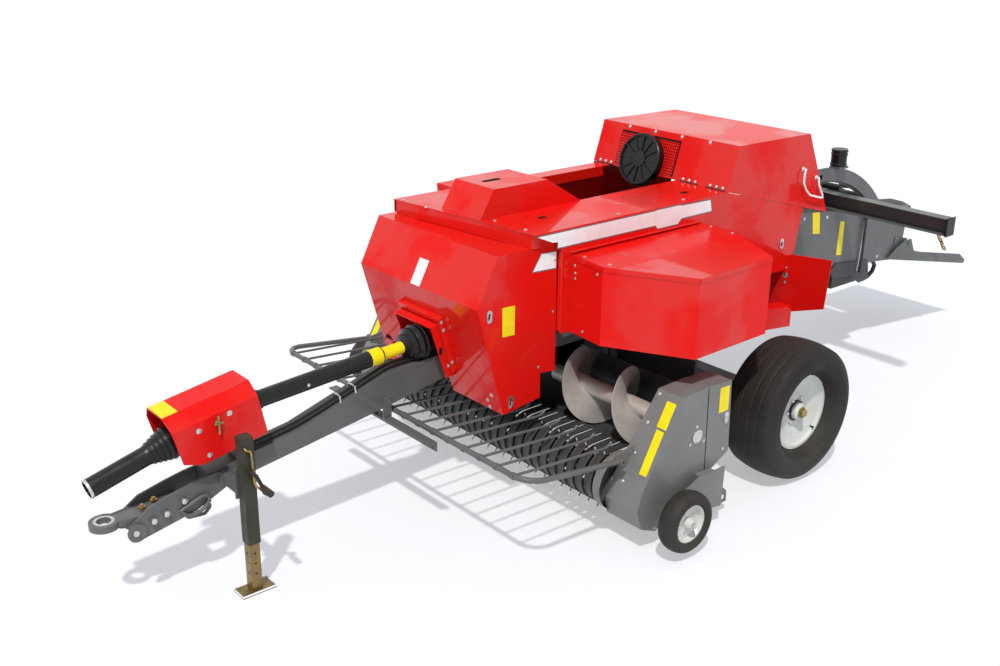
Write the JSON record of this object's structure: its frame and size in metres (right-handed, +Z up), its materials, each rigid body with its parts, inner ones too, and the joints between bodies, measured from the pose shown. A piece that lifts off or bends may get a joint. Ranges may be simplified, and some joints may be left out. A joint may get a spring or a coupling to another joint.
{
  "type": "square baler",
  "caption": "Towed small square baler with tine pickup, centring augers, bale chamber, plunger, twine boxes, knotter hood, fan, drive line, jack and bale chute.",
  "frame": {"origin": "on the ground, midway between the front of the drawbar eye and the rear tip of the chute, in the middle of the width", "axes": "+X forward to the drawbar eye, +Y to the machine's left, +Z up"},
  "size_m": [6.5522, 2.794, 1.737],
  "materials": {
    "red_paint": "gloss red",
    "grey_paint": "satin grey",
    "rim_paint": "off-white",
    "tyre": "matt black",
    "black_plastic": "satin black",
    "rubber": "satin black",
    "zinc": "yellow zinc",
    "spring_steel": "dark steel",
    "bright_steel": "bright worn steel"
  },
  "bodies": {
    "frame": {"main_frame": "grey_paint", "axle": "grey_paint", "bale_chamber": "grey_paint", "feeder_duct": "grey_paint", "gearbox": "grey_paint", "tongue": "grey_paint", "hitch_plates": "grey_paint", "drawbar_eye": "grey_paint", "crossbar": "grey_paint", "jack_bracket": "grey_paint", "shaft_bearing": "grey_paint", "front_shield": "red_paint", "drive_guard": "black_plastic", "hoses": "rubber", "side_panel_left": "red_paint", "side_panel_right": "red_paint", "deck": "red_paint", "hatch": "red_paint", "rear_side_panel_left": "red_paint", "rear_side_panel_right": "red_paint", "knotters": "grey_paint", "twine_box_left": "red_paint", "twine_box_right": "red_paint", "rear_wing": "red_paint", "lamp_beam": "grey_paint", "density_frame": "grey_paint", "canister": "black_plastic", "needle_frame": "grey_paint", "chute_chain": "zinc"},
    "wheel_left": {"wheel_rim_left": "rim_paint", "tyre_left": "tyre"},
    "wheel_right": {"wheel_rim_right": "rim_paint", "tyre_right": "tyre"},
    "pickup": {"pickup_frame": "grey_paint", "pickup_side_left": "grey_paint", "pickup_side_right": "grey_paint", "stripper_bands": "grey_paint"},
    "gauge_left": {"gauge_rim_left": "rim_paint", "gauge_tyre_left": "tyre"},
    "gauge_right": {"gauge_rim_right": "rim_paint", "gauge_tyre_right": "tyre"},
    "reel": {"tine_reel": "spring_steel"},
    "left_auger": {"auger_left": "bright_steel"},
    "right_auger": {"auger_right": "bright_steel"},
    "wind_guard": {"windguard": "grey_paint"},
    "middle_shaft": {"drive_shaft": "spring_steel"},
    "front_tube": {"front_guard": "black_plastic"},
    "front_joint_shaft": {"front_shaft": "spring_steel"},
    "cover": {"front_cover": "red_paint", "guard_box": "red_paint"},
    "knotter_hood": {"hood": "red_paint", "fan_guard": "black_plastic"},
    "fan": {"fan_rotor": "black_plastic"},
    "left_lid": {"twine_lid_left": "red_paint"},
    "right_lid": {"twine_lid_right": "red_paint"},
    "jack": {"jack_tube": "grey_paint"},
    "jack_foot": {"jack_leg": "zinc"},
    "bale_chute": {"chute": "grey_paint"},
    "ram": {"plunger": "grey_paint"}
  },
  "joints": [
    {"name": "wheel_left_spin", "type": "hinge", "parent": "frame", "child": "wheel_left", "pos_m": [-0.216, 1.077, 0.39], "axis": [0, 1, 0], "continuous": true},
    {"name": "wheel_right_spin", "type": "hinge", "parent": "frame", "child": "wheel_right", "pos_m": [-0.216, -1.077, 0.39], "axis": [0, 1, 0], "continuous": true},
    {"name": "pickup_lift", "type": "hinge", "parent": "frame", "child": "pickup", "pos_m": [0.404, 0, 0.6], "axis": [0, -1, 0], "range_deg": [-4.5, 1]},
    {"name": "gauge_left_spin", "type": "hinge", "parent": "pickup", "child": "gauge_left", "pos_m": [0.908, 1.343, 0.197], "axis": [0, 1, 0], "continuous": true},
    {"name": "gauge_right_spin", "type": "hinge", "parent": "pickup", "child": "gauge_right", "pos_m": [0.908, -1.343, 0.197], "axis": [0, 1, 0], "continuous": true},
    {"name": "reel_spin", "type": "hinge", "parent": "pickup", "child": "reel", "pos_m": [0.989, 0, 0.29], "axis": [0, 1, 0], "continuous": true},
    {"name": "auger_left_spin", "type": "hinge", "parent": "pickup", "child": "left_auger", "pos_m": [0.759, 0.6, 0.59], "axis": [0, 1, 0], "continuous": true},
    {"name": "auger_right_spin", "type": "hinge", "parent": "pickup", "child": "right_auger", "pos_m": [0.759, -0.6, 0.59], "axis": [0, 1, 0], "continuous": true},
    {"name": "windguard_swing", "type": "hinge", "parent": "pickup", "child": "wind_guard", "pos_m": [1.09, 0, 0.47], "axis": [0, -1, 0], "range_deg": [-8, 1]},
    {"name": "drive_spin", "type": "hinge", "parent": "frame", "child": "middle_shaft", "pos_m": [1.334, 0, 0.879], "axis": [0.9972, 0, -0.0752], "continuous": true},
    {"name": "front_tube_tilt", "type": "hinge", "parent": "frame", "child": "front_tube", "pos_m": [2.634, 0, 0.781], "axis": [0, -1, 0], "range_deg": [-6, 12]},
    {"name": "front_shaft_spin", "type": "hinge", "parent": "front_tube", "child": "front_joint_shaft", "pos_m": [2.634, 0, 0.781], "axis": [0.9627, 0, -0.2705], "continuous": true},
    {"name": "cover_open", "type": "hinge", "parent": "frame", "child": "cover", "pos_m": [1.314, 0, 1.388], "axis": [0, -1, 0], "range_deg": [0, 60]},
    {"name": "hood_open", "type": "hinge", "parent": "frame", "child": "knotter_hood", "pos_m": [-0.236, 0, 1.49], "axis": [0, 1, 0], "range_deg": [0, 60]},
    {"name": "fan_spin", "type": "hinge", "parent": "knotter_hood", "child": "fan", "pos_m": [-0.2576, -0.125, 1.5566], "axis": [0.9513, 0, 0.3081], "continuous": true},
    {"name": "lid_left_open", "type": "hinge", "parent": "frame", "child": "left_lid", "pos_m": [0.447, 0.54, 1.35], "axis": [1, 0, 0], "range_deg": [0, 75]},
    {"name": "lid_right_open", "type": "hinge", "parent": "frame", "child": "right_lid", "pos_m": [0.259, -0.49, 1.35], "axis": [-1, 0, 0], "range_deg": [0, 75]},
    {"name": "jack_swing", "type": "hinge", "parent": "frame", "child": "jack", "pos_m": [2.654, 0.25, 0.56], "axis": [0, 1, 0], "range_deg": [0, 90]},
    {"name": "jack_extend", "type": "slide", "parent": "jack", "child": "jack_foot", "axis": [0, 0, 1], "range_m": [-0.1, 0.165]},
    {"name": "chute_fold", "type": "hinge", "parent": "frame", "child": "bale_chute", "pos_m": [-2.546, 0, 0.742], "axis": [0, 1, 0], "range_deg": [0, 70]},
    {"name": "plunger_stroke", "type": "slide", "parent": "frame", "child": "ram", "axis": [0.9932, 0, 0.1162], "range_m": [-0.55, 0]}
  ],
  "couplings": [
    {"joint": "front_shaft_spin", "follows": "drive_spin", "ratio": 1}
  ]
}
